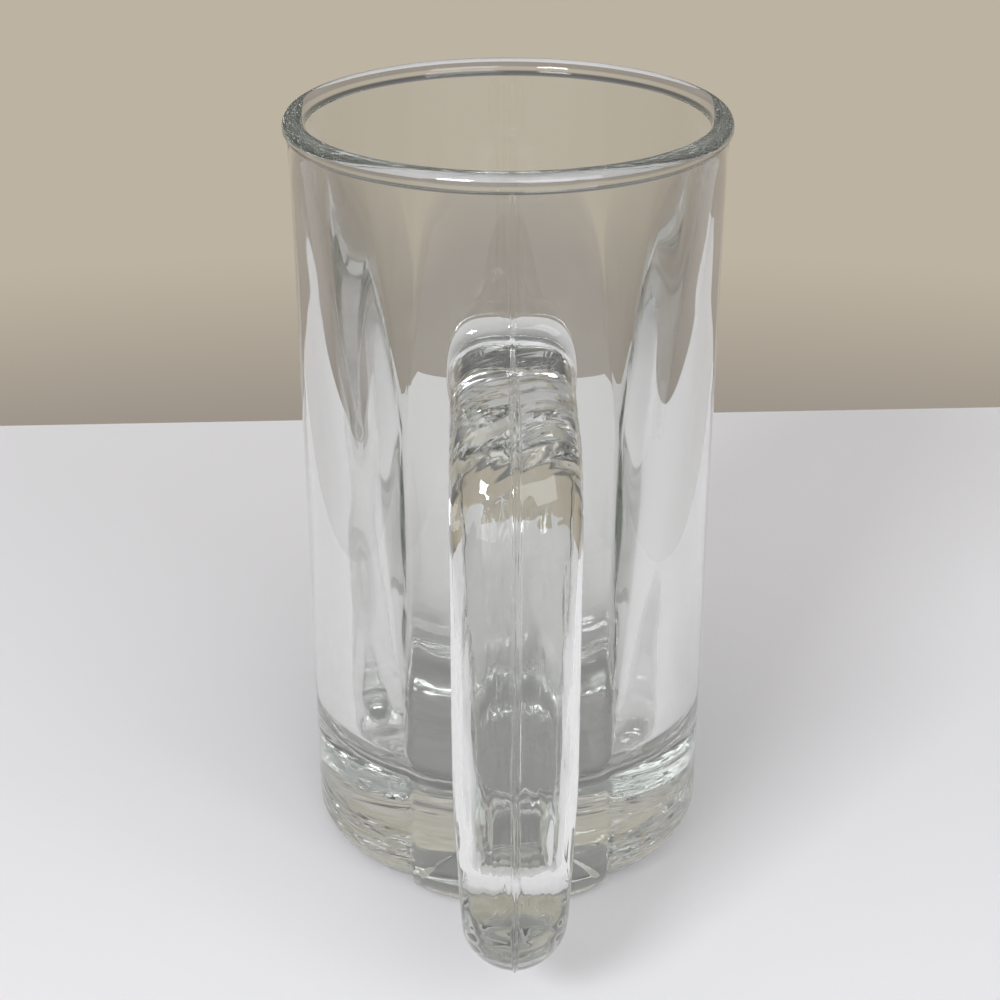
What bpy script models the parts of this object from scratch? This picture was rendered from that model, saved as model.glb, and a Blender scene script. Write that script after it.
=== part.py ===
"""Paneled glass beer mug: a heavy pressed body with a D-shaped handle fused to its front.

Metres, +Z up. The origin is the centre of the standing face, on the axis of the bowl.
The handle points to -Y.
"""
import math

import bmesh
import bpy
from mathutils import Vector

# Body, outside
HEIGHT = 0.1516
RIM_RADIUS = 0.0420
BEAD_PROUD = 0.0008
FOOT_RADIUS = 0.0404
HEEL_RADIUS = 0.0075
PAD_HEEL_RADIUS = 0.0035

# Body, inside
LIP_THICKNESS = 0.0042
WALL_AT_FLOOR = 0.0070
BASE_THICKNESS = 0.0210
FLOOR_CORNER_RADIUS = 0.0090

# Panels: cushions with grooves between them outside, pressed in again inside, with arched tops.
# The front panel is the pad that carries the handle, and it keeps a tighter heel.
PANEL_COUNT = 6
PANEL_TOP_DROP = 0.0040
PANEL_ROUNDNESS = 3.5
ARCH_HEIGHT = 0.0476
ARCH_NARROWING = 0.33
GROOVE_DEPTH = 0.0014
GROOVE_SLOPE = 0.030
INSIDE_PANEL_DEPTH = 0.0027
INSIDE_PANEL_SLOPE = 0.044
INSIDE_DEPTH_AT_FLOOR = 0.0005
DEPTH_BLEND = 6.0
ANGLE_TOLERANCE = math.radians(0.1)

# Handle
HANDLE_TOP_DROP = 0.0296
HANDLE_CLEARANCE_BELOW = 0.0128
HANDLE_REACH = 0.0471
HANDLE_THICKNESS = 0.0140
LOWER_ARM_THICKNESS = 0.0160
GRIP_WIDTH = 0.0216
LOWER_ARM_WIDTH = 0.0188
GRIP_TAPER_LENGTH = 0.0400
BEND_OUTER_RADIUS = 0.0180
BEND_INNER_RADIUS = 0.0100
ROOT_FILLET = 0.0045
ROOT_SIDE_FLARE = 0.0006
SECTION_CREST = 1.6
ROOT_CREST = 5.0

# Glass meets glass at the two roots
FUSION_GAP = 0.0003

# Glass
BODY_COLOR = (0.90, 0.91, 0.88)
HANDLE_COLOR = (0.89, 0.90, 0.87)
BODY_ROUGHNESS = 0.03
HANDLE_ROUGHNESS = 0.04
GLASS_IOR = 1.52

# Facets
CREASE_ANGLE = math.radians(35.0)
MERGE_DISTANCE = 0.0001
TURN_STEPS = 96
WALL_STEPS = 16
INSIDE_STEPS = 12
ARC_STEPS = 6
SECTION_STEPS = 28
GRIP_STEPS = 10


def clear_scene():
    for item in list(bpy.data.objects):
        bpy.data.objects.remove(item, do_unlink=True)


def new_collection(name):
    collection = bpy.data.collections.new(name)
    bpy.context.scene.collection.children.link(collection)
    return collection


def glass_material(name, color, roughness):
    material = bpy.data.materials.new(name)
    material.use_nodes = True
    shader = material.node_tree.nodes["Principled BSDF"]
    shader.inputs["Base Color"].default_value = (*color, 1.0)
    shader.inputs["Roughness"].default_value = roughness
    shader.inputs["Metallic"].default_value = 0.0
    shader.inputs["Transmission Weight"].default_value = 1.0
    shader.inputs["IOR"].default_value = GLASS_IOR
    return material


def smooth_step(share):
    share = min(max(share, 0.0), 1.0)
    return share * share * (3.0 - 2.0 * share)


def arc(center, radius, start_degrees, end_degrees, steps=ARC_STEPS):
    points = []
    for step in range(steps + 1):
        angle = math.radians(start_degrees + (end_degrees - start_degrees) * step / steps)
        points.append((center[0] + radius * math.cos(angle), center[1] + radius * math.sin(angle)))
    return points


def bead_end_angle():
    """Degrees below the bead's widest point at which it meets the wall."""
    bead_radius = LIP_THICKNESS / 2
    return math.degrees(math.acos(1.0 - BEAD_PROUD / bead_radius))


def neck_height():
    bead_radius = LIP_THICKNESS / 2
    return HEIGHT - bead_radius * (1.0 + math.sin(math.radians(bead_end_angle())))


def wall_radius(height):
    """Outer radius over the middle of a panel: nearly straight, a little wider at the neck."""
    rise = min(max(height / neck_height(), 0.0), 1.0)
    neck_radius = RIM_RADIUS - BEAD_PROUD
    return FOOT_RADIUS + (neck_radius - FOOT_RADIUS) * rise


def corner_top():
    return BASE_THICKNESS + FLOOR_CORNER_RADIUS


def inside_radius(height):
    """Inner radius along a panel's edge: a straight draft from the floor's corner to the lip."""
    floor_radius = wall_radius(BASE_THICKNESS) - WALL_AT_FLOOR
    rim_radius = RIM_RADIUS - LIP_THICKNESS
    lip_bottom = HEIGHT - LIP_THICKNESS / 2
    rise = min(max((height - corner_top()) / (lip_bottom - corner_top()), 0.0), 1.0)
    return floor_radius + (rim_radius - floor_radius) * rise


def outer_profile(grow=0.0):
    """Outside of the blank from below the bead to the table, before panels and heel are pressed."""
    top = neck_height()
    heights = [top + (HEEL_RADIUS - top) * step / WALL_STEPS for step in range(WALL_STEPS)]
    heights += [height for _, height in arc((0.0, HEEL_RADIUS), HEEL_RADIUS, 0.0, -90.0)]
    return [(wall_radius(height) + grow, max(height, 0.0)) for height in heights]


def body_profile():
    """Half section: cavity floor, up the inside, over the lip and bead, down the wall, under the base."""
    bead_radius = LIP_THICKNESS / 2
    lip_bottom = HEIGHT - bead_radius
    corner_center = (inside_radius(corner_top()) - FLOOR_CORNER_RADIUS, corner_top())
    lip_center = (RIM_RADIUS - bead_radius, lip_bottom)
    points = [(0.0, BASE_THICKNESS)]
    points += arc(corner_center, FLOOR_CORNER_RADIUS, -90.0, 0.0)
    for step in range(1, INSIDE_STEPS):
        height = corner_top() + (lip_bottom - corner_top()) * step / INSIDE_STEPS
        points.append((inside_radius(height), height))
    points += arc(lip_center, bead_radius, 180.0, 90.0)[:-1]
    points += arc(lip_center, bead_radius, 90.0, -bead_end_angle())[:-1]
    points += outer_profile()
    points.append((0.0, 0.0))
    return points


def seat_profile():
    """Solid plug a fusion gap larger than the body, which trims the handle's roots."""
    skin = outer_profile(FUSION_GAP)
    return [(0.0, skin[0][1])] + skin + [(0.0, skin[-1][1])]


def panel_share(angle, height):
    """Place across a panel: 0 on its middle, 1 at its edge. The panels narrow to arched tops."""
    pitch = 2.0 * math.pi / PANEL_COUNT
    arch_start = HEIGHT - PANEL_TOP_DROP - ARCH_HEIGHT
    rise = min(max((height - arch_start) / ARCH_HEIGHT, 0.0), 1.0)
    half_angle = pitch / 2 * (1.0 - ARCH_NARROWING * rise)
    return min(abs(angle - round(angle / pitch) * pitch) / half_angle, 1.0)


def growing_depth(height, slope, limit):
    """Depth that starts at nothing under the rim, grows at a slope and levels out at a limit."""
    drop = max(HEIGHT - PANEL_TOP_DROP - height, 0.0)
    return limit * math.tanh(slope * drop / limit)


def outside_press(angle, height):
    """How far the mould presses the blank in: the grooves between the panels, and the heel."""
    depth = growing_depth(height, GROOVE_SLOPE, GROOVE_DEPTH)
    groove = depth * panel_share(angle, height) ** PANEL_ROUNDNESS
    on_pad = abs(angle) <= math.pi / PANEL_COUNT + ANGLE_TOLERANCE
    heel = PAD_HEEL_RADIUS if on_pad else HEEL_RADIUS
    below = max(heel - height, 0.0)
    return groove + heel - math.sqrt(heel ** 2 - below ** 2)


def inside_press(angle, height):
    """How far a panel stands into the cavity. It is less near the floor, so that the plunger draws out."""
    from_rim = growing_depth(height, INSIDE_PANEL_SLOPE, INSIDE_PANEL_DEPTH)
    from_floor = INSIDE_DEPTH_AT_FLOOR + inside_radius(height) - inside_radius(corner_top())
    if from_rim == 0.0:
        return 0.0
    depth = (from_rim ** -DEPTH_BLEND + from_floor ** -DEPTH_BLEND) ** (-1.0 / DEPTH_BLEND)
    return depth * (1.0 - panel_share(angle, height) ** PANEL_ROUNDNESS)


def turned(name, profile, collection):
    """Solid of revolution about the Z axis, kept as a plain mesh."""
    mesh = bpy.data.meshes.new(name)
    vertices = [(radius, 0.0, height) for radius, height in profile]
    edges = [(index, index + 1) for index in range(len(profile) - 1)]
    mesh.from_pydata(vertices, edges, [])
    item = bpy.data.objects.new(name, mesh)
    collection.objects.link(item)
    screw = item.modifiers.new("turn", "SCREW")
    screw.steps = TURN_STEPS
    screw.render_steps = TURN_STEPS
    screw.use_merge_vertices = True
    screw.merge_threshold = MERGE_DISTANCE
    graph = bpy.context.evaluated_depsgraph_get()
    solid = bpy.data.meshes.new_from_object(item.evaluated_get(graph))
    item.modifiers.clear()
    item.data = solid
    bpy.data.meshes.remove(mesh)
    solid.name = name
    return item


def press_panels(item):
    """Shape the skins of a turned solid by the mould outside and by the plunger inside."""
    for vertex in item.data.vertices:
        x, y, height = vertex.co
        radius = math.hypot(x, y)
        if radius == 0.0:
            continue
        angle = math.atan2(x, -y)
        middle_of_wall = (inside_radius(height) + wall_radius(height)) / 2
        if height >= BASE_THICKNESS and radius < middle_of_wall:
            pressed = radius - inside_press(angle, height) * radius / inside_radius(height)
        else:
            pressed = radius - outside_press(angle, height)
        vertex.co = (x * pressed / radius, y * pressed / radius, height)


def root_growth(distance):
    """Extra half height of the handle at a distance from the wall: a round fillet, full inside the wall."""
    rest = min(max(ROOT_FILLET - distance, 0.0), ROOT_FILLET)
    return ROOT_FILLET - math.sqrt(ROOT_FILLET ** 2 - rest ** 2)


def arm_heights():
    """Heights of the middle of the top arm and of the lower arm."""
    upper = HEIGHT - HANDLE_TOP_DROP - HANDLE_THICKNESS / 2
    lower = HANDLE_CLEARANCE_BELOW + LOWER_ARM_THICKNESS / 2
    return upper, lower


def handle_rail(reach, top, bottom, bend, away):
    """One side of the loop in the YZ plane: from the upper root out, down the grip and back to the wall.

    The root fillets lead away from the grip's height on the outer rail and towards it on the inner one.
    """
    # Rings crowd towards the wall, where the fillet turns fastest
    crowd = [ROOT_FILLET * (1.0 - math.cos(math.pi / 2 * step / ARC_STEPS)) for step in range(ARC_STEPS + 1)]
    distances = [-WALL_AT_FLOOR / 2] + crowd
    upper_wall, lower_wall = (wall_radius(height) for height in arm_heights())
    upper_bend = arc((reach - bend, top - bend), bend, 90.0, 0.0)
    lower_bend = arc((reach - bend, bottom + bend), bend, 0.0, -90.0)
    grip_top = upper_bend[-1][1]
    grip_length = grip_top - lower_bend[0][1]
    rail = [(upper_wall + distance, top + away * root_growth(distance)) for distance in distances]
    rail += upper_bend
    rail += [(reach, grip_top - grip_length * step / GRIP_STEPS) for step in range(1, GRIP_STEPS)]
    rail += lower_bend
    rail += [(lower_wall + distance, bottom - away * root_growth(distance)) for distance in distances[::-1]]
    return rail


def handle_half_width(height):
    """The grip keeps its width and narrows towards the lower arm."""
    lower_arm = arm_heights()[1]
    rise = smooth_step((height - lower_arm) / GRIP_TAPER_LENGTH)
    return (LOWER_ARM_WIDTH + (GRIP_WIDTH - LOWER_ARM_WIDTH) * rise) / 2


def handle_section(outer, inner):
    """Ring of points between the two rails: an oval with a soft crest, squarer where it meets the wall."""
    middle = (outer + inner) / 2
    half = (outer - inner) / 2
    upper, lower = arm_heights()
    wall = wall_radius(upper if middle.y > (upper + lower) / 2 else lower)
    at_root = root_growth(middle.x - wall) / ROOT_FILLET
    crest = SECTION_CREST + (ROOT_CREST - SECTION_CREST) * at_root
    half_width = handle_half_width(middle.y) + ROOT_SIDE_FLARE * at_root
    ring = []
    for step in range(SECTION_STEPS):
        turn = 2.0 * math.pi * step / SECTION_STEPS
        across = math.cos(turn)
        deep = math.copysign(math.sqrt(max(1.0 - abs(across) ** crest, 0.0)), math.sin(turn))
        place = middle + half * deep
        ring.append((half_width * across, -place.x, place.y))
    return ring


def add_handle(collection):
    """Loft of the sections along the two rails, capped inside the wall at both roots."""
    reach = FOOT_RADIUS + HANDLE_REACH
    top = HEIGHT - HANDLE_TOP_DROP
    bottom = HANDLE_CLEARANCE_BELOW
    outer_rail = handle_rail(reach, top, bottom, BEND_OUTER_RADIUS, 1.0)
    inner_rail = handle_rail(reach - HANDLE_THICKNESS, top - HANDLE_THICKNESS, bottom + LOWER_ARM_THICKNESS,
                             BEND_INNER_RADIUS, -1.0)
    solid = bmesh.new()
    rings = []
    for outer, inner in zip(outer_rail, inner_rail):
        section = handle_section(Vector(outer), Vector(inner))
        rings.append([solid.verts.new(point) for point in section])
    for first, second in zip(rings, rings[1:]):
        for index in range(SECTION_STEPS):
            following = (index + 1) % SECTION_STEPS
            solid.faces.new((first[index], first[following], second[following], second[index]))
    solid.faces.new(rings[0][::-1])
    solid.faces.new(rings[-1])
    bmesh.ops.recalc_face_normals(solid, faces=solid.faces)
    mesh = bpy.data.meshes.new("handle")
    solid.to_mesh(mesh)
    solid.free()
    item = bpy.data.objects.new("handle", mesh)
    collection.objects.link(item)
    return item


def seat_on_body(item, seat):
    cut = item.modifiers.new("seat on the wall", "BOOLEAN")
    cut.operation = "DIFFERENCE"
    cut.solver = "EXACT"
    cut.object = seat


def shade_round(item):
    item.data.shade_smooth()
    item.data.set_sharp_from_angle(angle=CREASE_ANGLE)


clear_scene()
mug = new_collection("paneled_glass_beer_mug")
cutters = new_collection("cutters")

body = turned("mug_body", body_profile(), mug)
press_panels(body)
shade_round(body)
body.data.materials.append(glass_material("pressed_glass_body", BODY_COLOR, BODY_ROUGHNESS))

handle = add_handle(mug)
seat = turned("handle_seat", seat_profile(), cutters)
press_panels(seat)
seat.hide_render = True
seat.display_type = "WIRE"
seat_on_body(handle, seat)
shade_round(handle)
handle.data.materials.append(glass_material("pressed_glass_handle", HANDLE_COLOR, HANDLE_ROUGHNESS))
handle.parent = body
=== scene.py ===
import math

import bmesh
import bpy
import numpy as np
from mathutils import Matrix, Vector


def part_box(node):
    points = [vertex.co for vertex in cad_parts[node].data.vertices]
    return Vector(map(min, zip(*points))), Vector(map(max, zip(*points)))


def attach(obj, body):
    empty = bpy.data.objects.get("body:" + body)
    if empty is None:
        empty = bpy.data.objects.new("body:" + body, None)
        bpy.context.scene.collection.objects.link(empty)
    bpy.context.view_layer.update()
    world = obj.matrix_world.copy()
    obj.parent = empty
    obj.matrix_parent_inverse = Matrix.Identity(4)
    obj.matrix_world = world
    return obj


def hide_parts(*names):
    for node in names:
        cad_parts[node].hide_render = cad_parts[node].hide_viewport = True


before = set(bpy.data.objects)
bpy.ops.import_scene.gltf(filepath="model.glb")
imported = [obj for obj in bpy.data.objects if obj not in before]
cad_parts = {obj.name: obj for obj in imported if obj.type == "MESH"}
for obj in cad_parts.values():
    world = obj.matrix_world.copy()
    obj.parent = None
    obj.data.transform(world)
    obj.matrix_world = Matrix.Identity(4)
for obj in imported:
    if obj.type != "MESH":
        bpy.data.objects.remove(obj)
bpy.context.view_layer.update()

# Mug body: one piece of clear soda-lime glass, pressed between a mould and a plunger. Both are paneled,
# so six cushions with arched tops stand outside, with shallow grooves between them, and six inside.
# The rim is fire-polished to a bead, and the base is left thick.
body_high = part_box("mug_body")[1]
mug_height = body_high[2]
rim_radius = body_high[0]
bead_proud = 0.0008
foot_radius = 0.0404
heel_radius = 0.0075
pad_heel_radius = 0.0035
lip_thickness = 0.0042
wall_at_floor = 0.0070
base_thickness = 0.0210
floor_corner_radius = 0.0090
push_up_height = 0.0018
push_up_radius = 0.0300

panel_count = 6
panel_top_drop = 0.0040
panel_roundness = 3.5
arch_height = 0.0476
arch_narrowing = 0.33
groove_depth = 0.0014
groove_slope = 0.030
groove_half_angle = math.radians(0.3)
inside_panel_depth = 0.0027
inside_panel_slope = 0.044
inside_depth_at_floor = 0.0005
least_inside_depth = 1e-9
depth_blend = 6.0
seam_height = 0.00030
seam_half_width = 0.00032
rear_seam_share = 0.4

lip_radius = lip_thickness / 2
lip_bottom = mug_height - lip_radius
bead_end = math.acos(1.0 - bead_proud / lip_radius)
neck_height = mug_height - lip_radius * (1.0 + math.sin(bead_end))
corner_top = base_thickness + floor_corner_radius

columns_per_panel = 45
columns_per_groove = 6
seam_columns_per_side = 5
seam_column_step = 0.005
floor_ring_shares = np.linspace(0.15, 0.85, 5)
floor_corner_rows = 24
draft_rows = 60
lip_rows = 28
wall_rows = 90
heel_rows = 20
push_up_ring_shares = np.linspace(1.0, 0.04, 25)


def wall_radius(height):
    """Outer radius over the middle of a panel."""
    rise = np.clip(height / neck_height, 0.0, 1.0)
    return foot_radius + (rim_radius - bead_proud - foot_radius) * rise


def inside_radius(height):
    """Inner radius along a panel's edge: a straight draft from the floor's corner to the lip."""
    floor_radius = wall_radius(base_thickness) - wall_at_floor
    rise = np.clip((height - corner_top) / (lip_bottom - corner_top), 0.0, 1.0)
    return floor_radius + (rim_radius - lip_thickness - floor_radius) * rise


def arc(center, radius, start, end, steps):
    """Points along a round stretch of a section, from one angle to another."""
    turn = np.linspace(start, end, steps + 1)
    return np.stack([center[0] + radius * np.cos(turn), center[1] + radius * np.sin(turn)], axis=1)


def growing_depth(height, slope, limit):
    """Depth that starts at nothing under the rim, grows at a slope and levels out at a limit."""
    drop = np.clip(mug_height - panel_top_drop - height, 0.0, None)
    return limit * np.tanh(slope * drop / limit)


def seam_rise(offset):
    """Height of the mould's seam at a sideways distance from the parting plane."""
    return seam_height * np.exp(-(offset / seam_half_width) ** 2)


# Columns of the mesh follow the panels' edges: each panel's own columns, then those of the groove beside it.
# The front and rear panels have extra columns along the seam.
panel_columns = np.linspace(-1.0, 1.0, columns_per_panel)
groove_columns = np.linspace(0.0, 1.0, columns_per_groove + 2)[1:-1]
seam_columns = seam_column_step * np.arange(1, seam_columns_per_side + 1)
seamed_columns = np.sort(np.concatenate([panel_columns, -seam_columns, seam_columns]))
column_panel, column_share, column_groove = [], [], []
for panel in range(panel_count):
    across = seamed_columns if panel in (0, panel_count // 2) else panel_columns
    column_panel += [panel] * (len(across) + len(groove_columns))
    column_share += across.tolist() + [1.0] * len(groove_columns)
    column_groove += [0.0] * len(across) + groove_columns.tolist()
column_panel = np.array(column_panel)
column_share = np.array(column_share)
column_groove = np.array(column_groove)
columns = len(column_panel)


def column_angles(height):
    """Angle of each column from the front at some height: the panels narrow to arched tops."""
    pitch = 2.0 * math.pi / panel_count
    rise = np.clip((height - (mug_height - panel_top_drop - arch_height)) / arch_height, 0.0, 1.0)
    half_angle = (pitch / 2 - groove_half_angle) * (1.0 - arch_narrowing * rise)
    return column_panel * pitch + half_angle * column_share + (pitch - 2.0 * half_angle) * column_groove


def pressed_outside(radius, height):
    """The blank's radius after the mould has pressed the grooves, the heel and the seam into it."""
    groove = growing_depth(height, groove_slope, groove_depth) * np.abs(column_share) ** panel_roundness
    off_front_panel = np.where(column_panel == 0, column_groove, 1.0)
    off_front_panel = np.where(column_panel == panel_count - 1, 1.0 - column_groove, off_front_panel)
    heel = pad_heel_radius + (heel_radius - pad_heel_radius) * off_front_panel
    below = np.clip(heel - height, 0.0, None)
    pressed = radius - groove - heel + np.sqrt(heel ** 2 - below ** 2)
    above_base = np.clip((height - base_thickness) / floor_corner_radius, 0.0, 1.0)
    seam_share = above_base * np.where(column_panel == 0, 1.0, rear_seam_share)
    return pressed + seam_rise(pressed * np.sin(column_angles(height))) * seam_share


def pressed_inside(radius, height):
    """The cavity's radius where the plunger's panels stand in it, less so near the floor."""
    from_rim = growing_depth(height, inside_panel_slope, inside_panel_depth)
    from_rim = np.clip(from_rim, least_inside_depth, None)
    from_floor = inside_depth_at_floor + inside_radius(height) - inside_radius(corner_top)
    depth = (from_rim ** -depth_blend + from_floor ** -depth_blend) ** (-1.0 / depth_blend)
    bow = 1.0 - np.abs(column_share) ** panel_roundness
    return radius - depth * bow * radius / inside_radius(height)


corner_center = (inside_radius(corner_top) - floor_corner_radius, corner_top)
lip_center = (rim_radius - lip_radius, lip_bottom)
floor_radii = floor_ring_shares * corner_center[0]
draft_heights = np.linspace(corner_top, lip_bottom, draft_rows + 1)[1:-1]
inside = np.concatenate([
    np.stack([floor_radii, np.full_like(floor_radii, base_thickness)], axis=1),
    arc(corner_center, floor_corner_radius, -math.pi / 2, 0.0, floor_corner_rows),
    np.stack([inside_radius(draft_heights), draft_heights], axis=1),
])
lip = arc(lip_center, lip_radius, math.pi, -bead_end, lip_rows)[:-1]
heel_turn = np.linspace(0.0, math.pi / 2, heel_rows + 1)
wall_heights = np.concatenate([np.linspace(neck_height, heel_radius, wall_rows + 1)[:-1],
                               heel_radius * (1.0 - np.sin(heel_turn))])
wall = np.stack([wall_radius(wall_heights), np.clip(wall_heights, 0.0, None)], axis=1)
rows = []
for radius, height in inside:
    rows.append((pressed_inside(radius, height), height))
for radius, height in lip:
    rows.append((np.full(columns, radius), height))
for radius, height in wall:
    rows.append((pressed_outside(radius, height), height))
for share in push_up_ring_shares:
    rows.append((np.full(columns, push_up_radius * share), push_up_height * (1.0 - share ** 2)))


def body_mesh(name):
    """Skin of the pressed body: cavity floor, inside, lip, outside, standing ring and push-up."""
    vertices = []
    for radius, height in rows:
        turn = column_angles(height)
        ring = np.stack([radius * np.sin(turn), -radius * np.cos(turn), np.full(columns, height)], axis=1)
        vertices += ring.tolist()
    faces = []
    for row in range(len(rows) - 1):
        for column in range(columns):
            following = (column + 1) % columns
            faces.append((row * columns + column, (row + 1) * columns + column,
                          (row + 1) * columns + following, row * columns + following))
    floor_pole = len(vertices)
    push_up_pole = floor_pole + 1
    vertices += [(0.0, 0.0, rows[0][1]), (0.0, 0.0, rows[-1][1])]
    last_row = (len(rows) - 1) * columns
    for column in range(columns):
        following = (column + 1) % columns
        faces.append((floor_pole, column, following))
        faces.append((push_up_pole, last_row + following, last_row + column))
    mesh = bpy.data.meshes.new(name)
    mesh.from_pydata(vertices, [], faces)
    return mesh


body = bpy.data.objects.new("mug_body_glass", body_mesh("mug_body_glass"))
bpy.context.scene.collection.objects.link(body)

# Handle: a solid D-shaped loop of the same glass, fused to the front panel at an upper and a lower root.
# Its section is a rounded oval, wide across the grip and narrower in the lower arm, with the mould's seam
# along its middle.
handle_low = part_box("handle")[0]
handle_reach = -handle_low[1]
handle_thickness = 0.0140
lower_arm_thickness = 0.0160
handle_top_drop = 0.0296
handle_clearance_below = 0.0128
grip_width = 0.0216
lower_arm_width = 0.0188
grip_taper_length = 0.0400
bend_outer_radius = 0.0180
bend_inner_radius = 0.0100
root_fillet = 0.0045
root_side_flare = 0.0006
lower_crest = 1.8
upper_crest = 3.4
root_crest = 5.0

arm_top = mug_height - handle_top_drop
arm_bottom = handle_clearance_below
top_arm_height = arm_top - handle_thickness / 2
lower_arm_height = arm_bottom + lower_arm_thickness / 2
root_depth = wall_at_floor / 2

root_rows = 20
arm_rows = 10
bend_rows = 32
grip_rows = 40
section_columns = 72
seam_turns = np.array([0.0093, 0.0185, 0.0280, 0.0370, 0.0560])


def smooth_step(share):
    """Ease from 0 to 1 with no kink at either end."""
    share = np.clip(share, 0.0, 1.0)
    return share * share * (3.0 - 2.0 * share)


def root_growth(distance):
    """How far the fillet stands out at a distance from the wall; it is full inside the wall."""
    rest = np.clip(root_fillet - distance, 0.0, root_fillet)
    return root_fillet - np.sqrt(root_fillet ** 2 - rest ** 2)


def straight_run(start, end, steps):
    """Points between two ends of a straight stretch, without the ends."""
    return start + np.linspace(0.0, 1.0, steps + 1)[1:-1, None] * (end - start)


def rail(reach, top, bottom, bend, away):
    """One side of the loop in the parting plane, from the upper root out, down the grip and back."""
    upper_wall = wall_radius(top_arm_height)
    lower_wall = wall_radius(lower_arm_height)
    crowd = 1.0 - np.cos(np.linspace(0.0, math.pi / 2, root_rows + 1))
    from_wall = np.concatenate([[-root_depth], root_fillet * crowd])
    upper_root = np.stack([upper_wall + from_wall, top + away * root_growth(from_wall)], axis=1)
    lower_root = np.stack([lower_wall + from_wall, bottom - away * root_growth(from_wall)], axis=1)[::-1]
    upper_bend = arc((reach - bend, top - bend), bend, math.pi / 2, 0.0, bend_rows)
    lower_bend = arc((reach - bend, bottom + bend), bend, 0.0, -math.pi / 2, bend_rows)
    return np.concatenate([
        upper_root, straight_run(upper_root[-1], upper_bend[0], arm_rows), upper_bend,
        straight_run(upper_bend[-1], lower_bend[0], grip_rows), lower_bend,
        straight_run(lower_bend[-1], lower_root[0], arm_rows), lower_root,
    ])


outer_rail = rail(handle_reach, arm_top, arm_bottom, bend_outer_radius, 1.0)
inner_rail = rail(handle_reach - handle_thickness, arm_top - handle_thickness,
                  arm_bottom + lower_arm_thickness, bend_inner_radius, -1.0)


def handle_mesh(name):
    """Loft of rounded sections between the two rails, each with a soft crest along the parting line."""
    middle = (outer_rail + inner_rail) / 2
    half = (outer_rail - inner_rail) / 2
    upper = middle[:, 1] > (top_arm_height + lower_arm_height) / 2
    wall_here = np.where(upper, wall_radius(top_arm_height), wall_radius(lower_arm_height))
    at_root = root_growth(middle[:, 0] - wall_here) / root_fillet
    taper = smooth_step((middle[:, 1] - lower_arm_height) / grip_taper_length)
    half_width = (lower_arm_width + (grip_width - lower_arm_width) * taper) / 2 + root_side_flare * at_root
    near_seam = np.concatenate([-seam_turns, seam_turns])
    turn = np.sort(np.concatenate([
        np.linspace(0.0, 2.0 * math.pi, section_columns, endpoint=False),
        0.5 * math.pi + near_seam, 1.5 * math.pi + near_seam,
    ]))
    steps = len(turn)
    side = np.sign(np.sin(turn))
    across = np.cos(turn)
    rise = smooth_step((middle[:, 1] - lower_arm_height) / (top_arm_height - lower_arm_height))
    along = lower_crest + (upper_crest - lower_crest) * rise
    crest = (along + (root_crest - along) * at_root)[:, None]
    x = half_width[:, None] * across[None, :]
    deep = side * np.sqrt(1.0 - np.abs(across) ** crest) + seam_rise(x) / (handle_thickness / 2) * side
    y = -(middle[:, :1] + half[:, :1] * deep)
    z = middle[:, 1:] + half[:, 1:] * deep
    vertices = np.stack([x, y, z], axis=-1).reshape(-1, 3)
    faces = []
    for row in range(len(middle) - 1):
        for column in range(steps):
            following = (column + 1) % steps
            faces.append((row * steps + column, row * steps + following,
                          (row + 1) * steps + following, (row + 1) * steps + column))
    last_row = (len(middle) - 1) * steps
    faces.append(tuple(range(steps))[::-1])
    faces.append(tuple(range(last_row, last_row + steps)))
    mesh = bpy.data.meshes.new(name)
    mesh.from_pydata(vertices.tolist(), [], faces)
    shape = bmesh.new()
    shape.from_mesh(mesh)
    bmesh.ops.recalc_face_normals(shape, faces=shape.faces)
    shape.to_mesh(mesh)
    shape.free()
    return mesh


handle = bpy.data.objects.new("handle_glass", handle_mesh("handle_glass"))
bpy.context.scene.collection.objects.link(handle)

# Fused glass: body and handle are one body of glass, so they are joined here into one skin. The glass is
# clear, with a faint grey tint that grows with its depth. Pressing leaves shallow waves all over and streaks
# round the heel and along the handle, and handling leaves faint smudges.
crease_angle = math.radians(40.0)
glass_color = (0.935, 0.94, 0.93, 1.0)
glass_ior = 1.5
depth_color = (0.84, 0.85, 0.83, 1.0)
depth_density = 16.0
smudge_waves = (40.0, 40.0, 30.0)
smudge_from = 0.55
smudge_full = 0.80
smudge_roughness = 0.03

# Where each kind of mark begins and where it is full: angles from the front, heights, and one place along y
off_pad_span = (math.radians(29.0), math.radians(32.0))
heel_span = (0.017, 0.010)
handle_span = (-0.0425, -0.0455)
grip_top_span = (0.108, 0.098)
grip_bottom_span = (0.030, 0.040)
lower_arm_span = (0.036, 0.028)
top_arm_span = (0.100, 0.108)

fuse = body.modifiers.new("fuse", "BOOLEAN")
fuse.operation = "UNION"
fuse.object = handle
graph = bpy.context.evaluated_depsgraph_get()
fused = bpy.data.meshes.new_from_object(body.evaluated_get(graph))
body.modifiers.clear()
body.data = fused
bpy.data.objects.remove(handle)
body.data.shade_smooth()
body.data.set_sharp_from_angle(angle=crease_angle)

glass = bpy.data.materials.new("clear_glass")
glass.use_nodes = True
glass_nodes = glass.node_tree.nodes
glass_links = glass.node_tree.links
shader = glass_nodes["Principled BSDF"]
shader.inputs["Base Color"].default_value = glass_color
shader.inputs["Transmission Weight"].default_value = 1.0
shader.inputs["IOR"].default_value = glass_ior
depth_tint = glass_nodes.new("ShaderNodeVolumeAbsorption")
depth_tint.inputs["Color"].default_value = depth_color
depth_tint.inputs["Density"].default_value = depth_density
glass_links.new(depth_tint.outputs[0], glass_nodes["Material Output"].inputs["Volume"])

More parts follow.
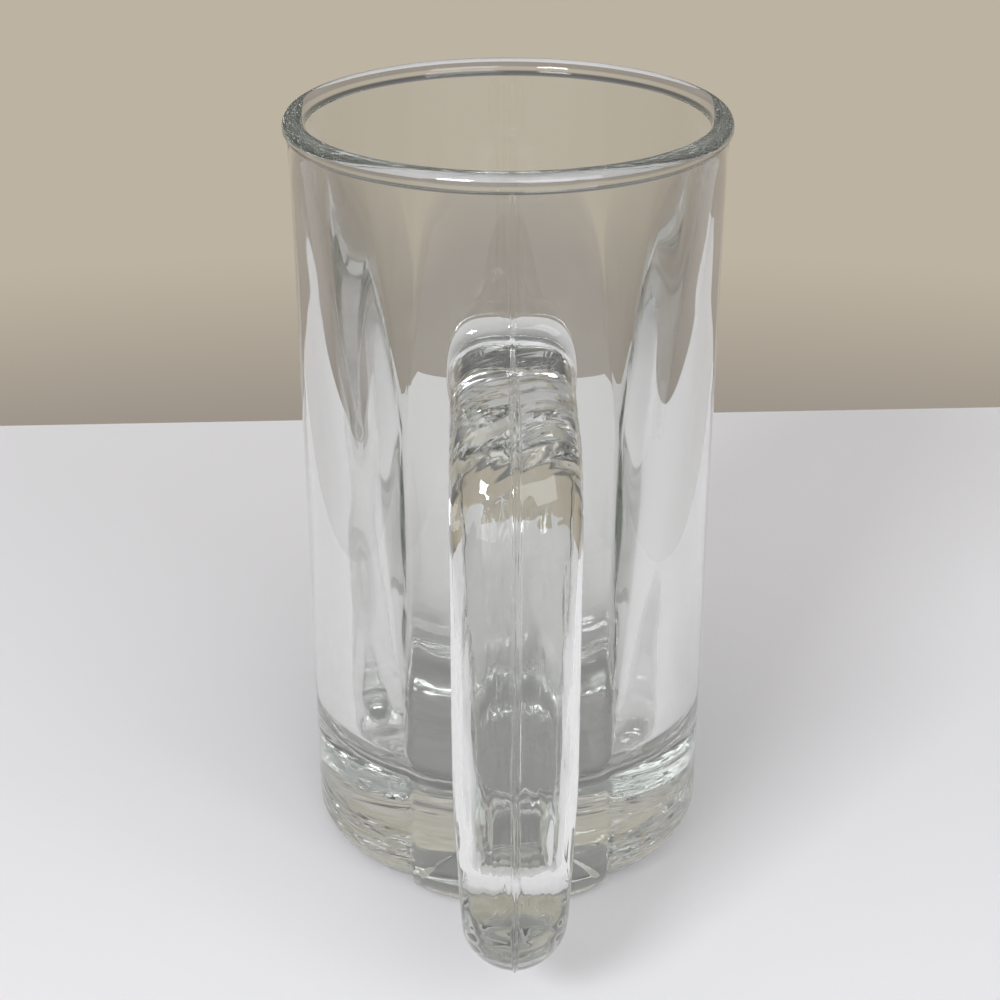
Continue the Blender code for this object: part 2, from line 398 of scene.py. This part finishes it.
place = glass_nodes.new("ShaderNodeTexCoord")
place_parts = glass_nodes.new("ShaderNodeSeparateXYZ")
glass_links.new(place.outputs["Object"], place_parts.inputs[0])
place_x, place_y, place_z = place_parts.outputs


def glass_math(operation, first, second=0.0):
    """One sum in the glass's nodes, of sockets or plain numbers."""
    node = glass_nodes.new("ShaderNodeMath")
    node.operation = operation
    for socket, value in zip(node.inputs, (first, second)):
        if isinstance(value, float):
            socket.default_value = value
        else:
            glass_links.new(value, socket)
    return node.outputs[0]


def fade(value, span):
    """Smooth share from 0 at the span's first value to 1 at its second."""
    none_at, full_at = span
    node = glass_nodes.new("ShaderNodeMapRange")
    node.interpolation_type = "SMOOTHSTEP"
    node.inputs["From Min"].default_value = min(none_at, full_at)
    node.inputs["From Max"].default_value = max(none_at, full_at)
    if none_at > full_at:
        node.inputs["To Min"].default_value = 1.0
        node.inputs["To Max"].default_value = 0.0
    glass_links.new(value, node.inputs["Value"])
    return node.outputs["Result"]


def ripples(waves_per_metre, detail=0.0, turned=0.0):
    """Uneven waves with their own count along each axis, turned about the upright by some degrees."""
    stretch = glass_nodes.new("ShaderNodeMapping")
    stretch.vector_type = "TEXTURE"
    stretch.inputs["Rotation"].default_value = (0.0, 0.0, math.radians(turned))
    stretch.inputs["Scale"].default_value = [1.0 / count for count in waves_per_metre]
    glass_links.new(place.outputs["Object"], stretch.inputs["Vector"])
    noise = glass_nodes.new("ShaderNodeTexNoise")
    noise.inputs["Scale"].default_value = 1.0
    noise.inputs["Detail"].default_value = detail
    glass_links.new(stretch.outputs["Vector"], noise.inputs["Vector"])
    return noise.outputs["Fac"]


def mark(where, height, waves_per_metre, detail=0.0, turned=0.0):
    """Relief of one kind of press mark, at its full height in metres where its share is 1."""
    layer = glass_math("MULTIPLY", ripples(waves_per_metre, detail, turned), height)
    return glass_math("MULTIPLY", layer, where)


from_front = glass_math("ABSOLUTE", glass_math("ARCTAN2", place_x, glass_math("MULTIPLY", place_y, -1.0)))
on_heel = glass_math("MULTIPLY", fade(place_z, heel_span), fade(from_front, off_pad_span))
on_handle = fade(place_y, handle_span)
between_bends = glass_math("MULTIPLY", fade(place_z, grip_top_span), fade(place_z, grip_bottom_span))
on_grip = glass_math("MULTIPLY", on_handle, between_bends)
on_lower_arm = glass_math("MULTIPLY", on_handle, fade(place_z, lower_arm_span))
on_top_arm = glass_math("MULTIPLY", on_handle, fade(place_z, top_arm_span))
everywhere = 1.0
relief = mark(everywhere, height=0.00006, waves_per_metre=(90.0, 90.0, 60.0))
for layer in (
    mark(on_heel, height=0.00040, waves_per_metre=(150.0, 150.0, 800.0), detail=1.0),
    mark(on_grip, height=0.00040, waves_per_metre=(430.0, 350.0, 55.0), detail=1.0),
    mark(on_lower_arm, height=0.00010, waves_per_metre=(60.0, 60.0, 380.0)),
    mark(on_top_arm, height=0.00024, waves_per_metre=(70.0, 430.0, 150.0), detail=1.0, turned=28.0),
):
    relief = glass_math("ADD", relief, layer)
bump = glass_nodes.new("ShaderNodeBump")
bump.inputs["Distance"].default_value = 1.0
glass_links.new(relief, bump.inputs["Height"])
glass_links.new(bump.outputs["Normal"], shader.inputs["Normal"])
smudge = glass_nodes.new("ShaderNodeMapRange")
smudge.inputs["From Min"].default_value = smudge_from
smudge.inputs["From Max"].default_value = smudge_full
smudge.inputs["To Max"].default_value = smudge_roughness
glass_links.new(ripples(smudge_waves, detail=1.0), smudge.inputs["Value"])
glass_links.new(smudge.outputs["Result"], shader.inputs["Roughness"])
body.data.materials.clear()
body.data.materials.append(glass)
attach(body, "root")
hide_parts("mug_body", "handle")

# Stage: a plain pale table top that ends behind the mug, in front of a warm grey backdrop. Camera, glossy
# and transmitted rays see that backdrop and a plain grey room. The table top is lit by an even pale world,
# mainly from the front, and by two soft lamps.
table_half_back = 0.18
table_half_front = 0.15
table_front = -0.30
table_back_left = 0.203
table_back_right = 0.215
table_level = -0.0002
table_color = (0.80, 0.79, 0.80, 1.0)
table_roughness = 0.8
table_mesh = bpy.data.meshes.new("table")
table_mesh.from_pydata([(-table_half_front, table_front, table_level),
                        (table_half_front, table_front, table_level),
                        (table_half_back, table_back_right, table_level),
                        (-table_half_back, table_back_left, table_level)], [], [(0, 1, 2, 3)])
table = bpy.data.objects.new("table", table_mesh)
bpy.context.scene.collection.objects.link(table)
table_paper = bpy.data.materials.new("table_paper")
table_paper.use_nodes = True
paper_shader = table_paper.node_tree.nodes["Principled BSDF"]
paper_shader.inputs["Base Color"].default_value = table_color
paper_shader.inputs["Roughness"].default_value = table_roughness
table_mesh.materials.append(table_paper)

even_light_color = (1.0, 0.98, 0.96, 1.0)
world = bpy.data.worlds.new("room")
bpy.context.scene.world = world
world.use_nodes = True
nodes = world.node_tree.nodes
links = world.node_tree.links
even_light = nodes["Background"]
even_light.inputs["Color"].default_value = even_light_color
seen_room = nodes.new("ShaderNodeBackground")
coordinates = nodes.new("ShaderNodeTexCoord")
direction = nodes.new("ShaderNodeSeparateXYZ")
links.new(coordinates.outputs["Generated"], direction.inputs[0])
direction_x, direction_y, direction_z = direction.outputs


def height_ramp(stops):
    """Colour by the height of a direction, with stops in degrees above the level."""
    remap = nodes.new("ShaderNodeMapRange")
    remap.inputs["From Min"].default_value = -1.0
    links.new(direction_z, remap.inputs["Value"])
    ramp = nodes.new("ShaderNodeValToRGB")
    links.new(remap.outputs["Result"], ramp.inputs["Fac"])
    elements = ramp.color_ramp.elements
    while len(elements) < len(stops):
        elements.new(0.5)
    for element, (degrees, color) in zip(elements, stops):
        element.position = (1.0 + math.sin(math.radians(degrees))) / 2
        element.color = (*color, 1.0)
    return ramp.outputs["Color"]


def smooth_change(value, start, end, at_start, at_end):
    """Number that goes smoothly from one level to another as a direction's part passes from start to end."""
    node = nodes.new("ShaderNodeMapRange")
    node.interpolation_type = "SMOOTHSTEP"
    node.inputs["From Min"].default_value = start
    node.inputs["From Max"].default_value = end
    node.inputs["To Min"].default_value = at_start
    node.inputs["To Max"].default_value = at_end
    links.new(value, node.inputs["Value"])
    return node.outputs["Result"]


# Painted shade on the backdrop: it is darker just above the table's edge, where its foot lies in shade, and
# above the picture it falls into shade, which draws the dark lines along the rim, heel and bends
backdrop_color = height_ramp([
    (-23.2, (0.33, 0.29, 0.25)), (-18.8, (0.505, 0.45, 0.36)), (-9.0, (0.505, 0.45, 0.36)),
    (-3.0, (0.12, 0.115, 0.11)), (8.0, (0.14, 0.135, 0.13)), (20.0, (0.25, 0.24, 0.23)),
    (28.0, (0.58, 0.56, 0.52)), (40.0, (0.50, 0.46, 0.38)), (48.0, (0.42, 0.40, 0.35)),
    (62.0, (0.55, 0.55, 0.55)),
])
front_color = height_ramp([(-10.0, (0.62, 0.61, 0.60)), (12.0, (0.50, 0.50, 0.50)),
                           (30.0, (0.22, 0.22, 0.23)), (55.0, (0.50, 0.50, 0.53))])
room_color = nodes.new("ShaderNodeMix")
room_color.data_type = "RGBA"
backdrop_share = smooth_change(direction_y, start=-0.25, end=0.25, at_start=0.0, at_end=1.0)
links.new(backdrop_share, room_color.inputs["Factor"])
links.new(front_color, room_color.inputs["A"])
links.new(backdrop_color, room_color.inputs["B"])
links.new(room_color.outputs["Result"], seen_room.inputs["Color"])
aside = nodes.new("ShaderNodeMath")
aside.operation = "ABSOLUTE"
links.new(direction_x, aside.inputs[0])
room_strength = smooth_change(aside.outputs[0], start=0.55, end=0.95, at_start=1.0, at_end=0.55)
links.new(room_strength, seen_room.inputs["Strength"])
even_strength = smooth_change(direction_y, start=-0.5, end=0.5, at_start=1.0, at_end=0.2)
links.new(even_strength, even_light.inputs["Strength"])
light_path = nodes.new("ShaderNodeLightPath")
seen = light_path.outputs["Is Camera Ray"]
for ray_kind in ("Is Glossy Ray", "Is Transmission Ray"):
    either = nodes.new("ShaderNodeMath")
    either.operation = "MAXIMUM"
    links.new(seen, either.inputs[0])
    links.new(light_path.outputs[ray_kind], either.inputs[1])
    seen = either.outputs[0]
chosen = nodes.new("ShaderNodeMixShader")
links.new(seen, chosen.inputs["Fac"])
links.new(even_light.outputs[0], chosen.inputs[1])
links.new(seen_room.outputs[0], chosen.inputs[2])
links.new(chosen.outputs[0], nodes["World Output"].inputs["Surface"])

lamp_color = (0.92, 0.95, 1.0)
lamp_aim = Vector((0.0, -0.1, 0.0))


def soft_lamp(name, place, wide, tall, watts):
    """Rectangular soft lamp that points at the table top in front of the mug."""
    light = bpy.data.lights.new(name, "AREA")
    light.shape = "RECTANGLE"
    light.size = wide
    light.size_y = tall
    light.energy = watts
    light.color = lamp_color
    lamp = bpy.data.objects.new(name, light)
    lamp.location = place
    lamp.rotation_euler = (lamp_aim - Vector(place)).to_track_quat("-Z", "Y").to_euler()
    bpy.context.scene.collection.objects.link(lamp)


soft_lamp("left_softbox", place=(-0.55, -1.00, 0.85), wide=0.36, tall=0.26, watts=9.2)
soft_lamp("right_softbox", place=(0.50, -1.00, 0.80), wide=0.90, tall=0.60, watts=5.6)

camera_place = (-0.00678, -0.3792, 0.2526)
camera_tilt_down = math.radians(25.55)
camera_turn = math.radians(-0.8)
camera_lens = 74.88
camera_sensor = 36.0
light_bounces = 36
camera_data = bpy.data.cameras.new("camera")
camera_data.sensor_width = camera_sensor
camera_data.lens = camera_lens
camera = bpy.data.objects.new("camera", camera_data)
camera.location = camera_place
camera.rotation_euler = (math.radians(90.0) - camera_tilt_down, 0.0, camera_turn)
bpy.context.scene.collection.objects.link(camera)
bpy.context.scene.camera = camera
bpy.context.scene.view_settings.view_transform = "Standard"
bpy.context.scene.cycles.max_bounces = light_bounces
bpy.context.scene.cycles.transmission_bounces = light_bounces
bpy.context.scene.cycles.glossy_bounces = light_bounces
